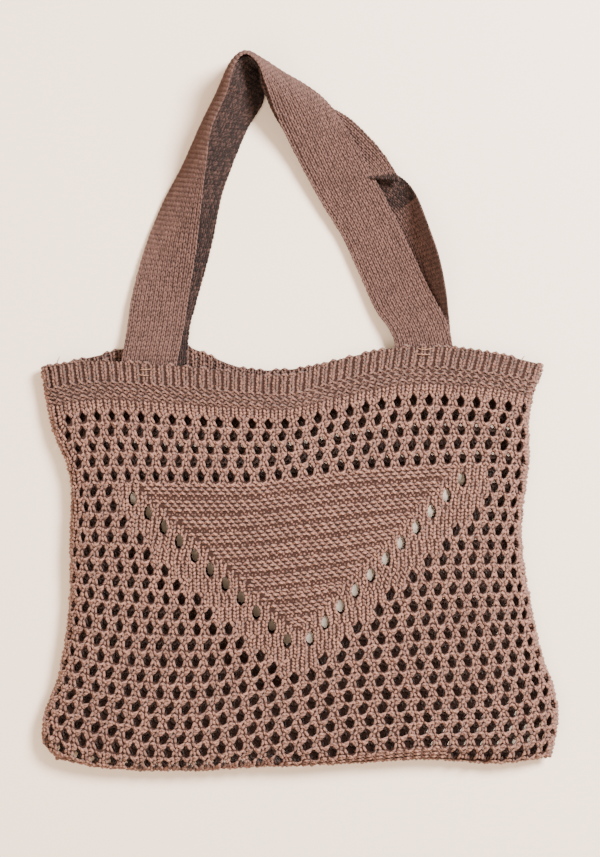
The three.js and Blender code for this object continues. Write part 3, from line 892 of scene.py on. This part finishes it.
def seam_yarn(sides, material):
    """The sewn edge round the sides and bottom, as loops of yarn over both walls' edges."""
    rows = np.linspace(TOP_ROW, SECTIONS[-1].row, 400)
    zero = np.zeros(400)
    across = np.linspace(0, 1, 600)
    left = wall_middle("front", zero, rows)
    bottom = wall_middle("front", across, seam_row(across))
    right = wall_middle("front", zero + 1, mix(TOP_ROW, seam_row(1.0), np.linspace(1, 0, 400)))
    path = np.concatenate([left, bottom[1:], right[1:]])
    path[:, 2] = SEAM_HEIGHT
    run = runs_along(path)
    count = int(run[-1] / SEAM_PITCH)
    at = (np.arange(count) + 0.5) * run[-1] / count
    middle = points_at(at, run, path)
    along = points_at(at + SEAM_AHEAD, run, path) - points_at(at - SEAM_AHEAD, run, path)
    along /= np.linalg.norm(along, axis=1, keepdims=True)
    outward = np.stack([along[:, 1], -along[:, 0], along[:, 2] * 0], -1)
    lean = rng.normal(0, 0.5, (count, 1))
    out = rng.normal(0.2, 0.35, (count, 1))
    ends = np.stack(
        [
            middle - outward * SEAM_OVER[0] + (0, 0, SEAM_OVER[1]) + along * (SEAM_LEAN + lean),
            middle + outward * out + (0, 0, 0.6),
            middle - outward * SEAM_UNDER[0] + (0, 0, SEAM_UNDER[1]) - along * (SEAM_LEAN + lean),
        ],
        axis=1,
    )
    lifts = np.tile([-0.3, 0.3, -0.3], (count, 1)) * YARN
    widths = (1.5 * YARN, 1.3 * YARN)
    return yarn_lengths("seam_edge", ends, outward, lifts, *widths, sides, material, "body_yarn")


def thread_ends(material):
    """The light threads that sew the handles on, where they show on the band, and two loose ends."""
    ends = []
    for x, y, half in SEWN_PLACES:
        for i in SEWN_THREADS:
            start = (x - half + i, y + 2.6 * i, THREAD_LOW)
            middle = (x, y + 2.6 * i - 0.8, THREAD_HIGH)
            end = (x + half + 2 * i, y + 3 * i, THREAD_LOW)
            ends.append([start, middle, end])
    ends = np.array(ends + LOOSE_ENDS, float)
    ends += rng.normal(0, 0.35, ends.shape)
    ups = np.tile([0.0, 0.0, 1.0], (len(ends), 1))
    lifts = np.full((len(ends), 3), 0.6)
    widths = (THREAD, THREAD)
    return yarn_lengths("sewing_thread", ends, ups, lifts, *widths, 6, material, "body_yarn")


# The ground cloths stop a little inside the edges, and their openings are this much wider each way
GROUND_SPAN = (0.004, 0.996)
GROUND_STEPS = 61
GROUND_BACK = 0.3


def wall_ground(wall, material):
    """A wall's ground cloth, with the openings of the net and the eyelets cut in it."""
    surface = partial(wall_middle, wall)

    def rows_down(across, share):
        return surface(across, mix(TOP_ROW + 0.1, seam_row(across) - 0.05, share))

    piece = ground_cloth(
        f"{wall}_ground",
        rows_down,
        np.linspace(*GROUND_SPAN, GROUND_STEPS),
        np.linspace(0, 1, GROUND_STEPS),
        GROUND_THICK,
        material,
        "body_yarn",
    )
    cut_holes(piece, openings_of(wall) + (0, 0, GROUND_BACK, GROUND_BACK, 0, 0))
    return piece


# The stitches of a handle


def strap_places(sections):
    """Places along a strap's sections, one for each course, evenly spaced along its middle."""
    fine = np.linspace(0, len(sections) - 1, 3000)
    length = runs_along(strap_middle(sections, np.full(len(fine), 0.5), fine))
    count = int(length[-1] / STRAP_COURSE)
    return np.interp((np.arange(count) + 0.5) * length[-1] / count, length, fine)


# The strap's ground cloth stops a little inside its edges, and has these points across and along
STRAP_SPAN = (0.015, 0.985)
STRAP_POINTS = (9, 161)


def stitched_strap(name, sections, faces, sides, material, ground):
    """A strap's ground cloth and the stitches on the faces of it that show."""
    places = strap_places(sections)
    step = np.gradient(places)

    def surface(across, place):
        return strap_middle(sections, across, np.clip(place, 0, len(sections) - 1))

    parts = []
    for face in faces:
        shown = (places >= face.start) & (places <= face.end)
        across, place = np.meshgrid((np.arange(STRAP_WALES) + 0.5) / STRAP_WALES, places[shown])
        height = np.repeat(step[shown], STRAP_WALES)
        width = np.full(across.size, 1 / STRAP_WALES)
        strokes = strokes_on(np.stack([across.ravel(), place.ravel(), width, height], -1), FINE, STRAP_YARN)
        strokes += rng.normal(0, 1, strokes.shape) * STRAP_JITTER
        strokes[..., 0] = np.clip(strokes[..., 0], 0.005, 0.995)
        # Painted shade: the yarn is made darker on the faces that lie in shade, under the front handle and
        # under the back handle's fold
        lifts = strokes[..., 2] - face.worn
        strokes[..., 2] *= face.side
        points, ups = laid_on(surface, strokes, STRAP_STEPS)
        parts.append((points, ups * face.side, lifts))
    points, ups, lifts = (np.concatenate(part) for part in zip(*parts))
    points[..., 2] = np.maximum(points[..., 2], STRAP_YARN_LOWEST)
    widths = (STRAP_YARN, STRAP_YARN_THROUGH)
    yarn = yarn_lengths(f"{name}_knit", points, ups, lifts, *widths, sides, material, "strap_yarn")
    sheet = ground_cloth(
        f"{name}_ground",
        surface,
        np.linspace(*STRAP_SPAN, STRAP_POINTS[0]),
        np.interp(np.linspace(0, 1, STRAP_POINTS[1]), np.linspace(0, 1, len(places)), places),
        GROUND_THICK,
        ground,
        "strap_yarn",
    )
    return sheet, yarn


# Materials


def feed(made, inputs):
    """Sets a shader node's inputs, given as plain values or as the sockets that feed them."""
    for key, value in inputs.items():
        if isinstance(value, bpy.types.NodeSocket):
            made.id_data.links.new(value, made.inputs[key])
        else:
            made.inputs[key].default_value = value


def node(material, kind, inputs=None, **settings):
    made = material.node_tree.nodes.new(kind)
    for key, value in settings.items():
        setattr(made, key, value)
    feed(made, inputs or {})
    return made


def maths(material, operation, *values):
    """The result of a math node."""
    made = node(material, "ShaderNodeMath", dict(enumerate(values)), operation=operation)
    return made.outputs[0]


def ramp_colour(material, tone, stops):
    """A colour from a tone, by a ramp through places and the colours there."""
    ramp = node(material, "ShaderNodeValToRGB", {"Fac": tone})
    elements = ramp.color_ramp.elements
    elements[0].position = stops[0][0]
    elements[1].position = stops[-1][0]
    for place, _ in stops[1:-1]:
        elements.new(place)
    for element, (_, colour) in zip(elements, stops):
        element.color = (*colour, 1)
    return ramp.outputs["Color"]


def new_material(name):
    material = bpy.data.materials.new(name)
    material.use_nodes = True
    return material, material.node_tree.nodes["Principled BSDF"]


# The twist of the plies: radians for a millimetre along the yarn, and once round it
TWIST_ALONG = 2.3
TWIST_ROUND = 12.566
# How much the plies, fibres and patches of the yarn change its tone, and the ramp's three places
PLY_TONE = 0.07
FIBRE_TONE = 0.2
PATCH_TONE = 0.25
RAMP_PLACES = (0.32, 0.62, 1.0)


def yarn_material(name, light, middle, deep, bump, sheen=0.12):
    """Matt cotton yarn: mottled, with the twist of its plies along each length."""
    material, shader = new_material(name)
    place = node(material, "ShaderNodeTexCoord").outputs["Object"]
    patches = node(material, "ShaderNodeTexNoise", {"Vector": place, "Scale": 35, "Detail": 3})
    fibres = node(material, "ShaderNodeTexNoise", {"Vector": place, "Scale": 800, "Detail": 2})
    # Painted shade: the shade attribute darkens yarn that lies deep in the cloth
    shade = node(material, "ShaderNodeAttribute", attribute_name="shade")
    on_yarn = node(material, "ShaderNodeUVMap", uv_map="yarn").outputs["UV"]
    split = node(material, "ShaderNodeSeparateXYZ", {"Vector": on_yarn})
    turned = maths(material, "MULTIPLY", split.outputs["Y"], TWIST_ROUND)
    twist = maths(material, "MULTIPLY_ADD", split.outputs["X"], TWIST_ALONG, turned)
    ply = maths(material, "SINE", twist)
    tone = maths(material, "MULTIPLY_ADD", ply, PLY_TONE, shade.outputs["Fac"])
    tone = maths(material, "MULTIPLY_ADD", fibres.outputs["Fac"], FIBRE_TONE, tone)
    tone = maths(material, "MULTIPLY_ADD", patches.outputs["Fac"], PATCH_TONE, tone)
    height = maths(material, "MULTIPLY_ADD", fibres.outputs["Fac"], 0.8, ply)
    relief = {"Strength": bump, "Distance": 0.0005, "Height": height}
    raised = node(material, "ShaderNodeBump", relief)
    colour = ramp_colour(material, tone, list(zip(RAMP_PLACES, (deep, middle, light))))
    feed(
        shader,
        {
            "Base Color": colour,
            "Normal": raised.outputs["Normal"],
            "Roughness": 0.92,
            "Specular IOR Level": 0.2,
            "Sheen Weight": sheen,
            "Sheen Roughness": 0.6,
        },
    )
    return material


def ground_material(name, colour):
    """Painted shade for the yarn deep between the stitches: a near-black, mottled colour."""
    material, shader = new_material(name)
    place = node(material, "ShaderNodeTexCoord").outputs["Object"]
    noise = node(material, "ShaderNodeTexNoise", {"Vector": place, "Scale": 500})
    stops = [(share, [tone * c for c in colour]) for share, tone in ((0, 0.6), (1, 1.4))]
    mottled = ramp_colour(material, noise.outputs["Fac"], stops)
    feed(shader, {"Base Color": mottled, "Roughness": 1.0, "Specular IOR Level": 0.0})
    return material


# Each yarn's colour where it lies high, between, and deep, so that it is painted darker as shade where it
# lies low
body_yarn = yarn_material(
    "body_yarn", (0.29, 0.137, 0.098), (0.15, 0.069, 0.049), (0.032, 0.014, 0.01), bump=0.8
)
# The band's yarn is the same yarn painted darker, as the shade in its ribs
shaded_band_yarn = yarn_material(
    "shaded_band_yarn", (0.19, 0.09, 0.065), (0.09, 0.042, 0.03), (0.024, 0.011, 0.008), bump=0.8
)
# The handles' yarn is the same yarn painted darker, as the shade between their fine stitches
strap_yarn = yarn_material(
    "strap_yarn", (0.138, 0.069, 0.055), (0.076, 0.038, 0.03), (0.014, 0.007, 0.006), bump=0.6, sheen=0.04
)
# The back wall's yarn is the same yarn painted darker, as the shade inside the bag
shaded_inner_yarn = yarn_material(
    "shaded_inner_yarn", (0.08, 0.042, 0.032), (0.045, 0.023, 0.018), (0.02, 0.01, 0.008), bump=0.8
)
thread = yarn_material("thread", (0.3, 0.16, 0.1), (0.22, 0.11, 0.07), (0.1, 0.05, 0.035), bump=0.4)
# The ground cloths' near-black colour is painted shade, the dark between the stitches
ground = ground_material("ground", (0.035, 0.018, 0.0145))

front_ground = wall_ground("front", ground)
back_ground = wall_ground("back", ground)
front_yarn = stitched_wall("front", 4, 5, shaded_band_yarn, body_yarn)
back_yarn = stitched_wall("back", 2, 4, shaded_band_yarn, shaded_inner_yarn)
seam = seam_yarn(6, body_yarn)
threads = thread_ends(thread)
front_strap = stitched_strap("front_handle", FRONT_HANDLE, FRONT_HANDLE_FACES, 5, strap_yarn, ground)
back_strap = stitched_strap("back_handle", BACK_HANDLE, BACK_HANDLE_FACES, 5, strap_yarn, ground)

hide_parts("front_panel")
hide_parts("back_panel")
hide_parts("front_handle")
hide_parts("back_handle")

# Floor, camera and light, in metres
FLOOR_HALF = 8.0
CAMERA_HEIGHT = 1.8
CAMERA_PLACE = (0.0009, -0.0128)
SENSOR = 36
# The photo's own height on the bag, and how high over the floor that is
SEEN_HEIGHT = 0.677
SEEN_AT = 0.012

floor_mesh = bpy.data.meshes.new("floor")
corners = [(x * FLOOR_HALF, y * FLOOR_HALF, 0) for x, y in ((-1, -1), (1, -1), (1, 1), (-1, 1))]
floor_mesh.from_pydata(corners, [], [(0, 1, 2, 3)])
floor = placed("floor", floor_mesh)
floor_material, floor_shader = new_material("floor")
feed(floor_shader, {"Base Color": (0.96, 0.78, 0.63, 1), "Roughness": 0.8})
floor_mesh.materials.append(floor_material)

camera_data = bpy.data.cameras.new("camera")
camera = placed("camera", camera_data)
camera.location = (*CAMERA_PLACE, CAMERA_HEIGHT)
camera_data.sensor_width = SENSOR
camera_data.lens = SENSOR * (CAMERA_HEIGHT - SEEN_AT) / SEEN_HEIGHT
bpy.context.scene.camera = camera


def area_light(name, place, size, power, colour):
    """A round light that points at the bag."""
    data = bpy.data.lights.new(name, "AREA")
    data.shape = "DISK"
    data.size = size
    data.energy = power
    data.color = colour
    light = placed(name, data)
    light.location = place
    aim = -light.location
    light.rotation_mode = "QUATERNION"
    light.rotation_quaternion = aim.to_track_quat("-Z", "Y")


area_light("window", (1.2, 0.9, 1.6), size=0.8, power=185, colour=(1.0, 1.0, 1.0))
area_light("fill", (-0.6, -0.6, 2.2), size=2.0, power=48, colour=(1.0, 0.88, 0.76))
world = bpy.data.worlds.new("room")
bpy.context.scene.world = world
world.use_nodes = True
feed(world.node_tree.nodes["Background"], {"Color": (1.0, 0.78, 0.58, 1), "Strength": 0.9})
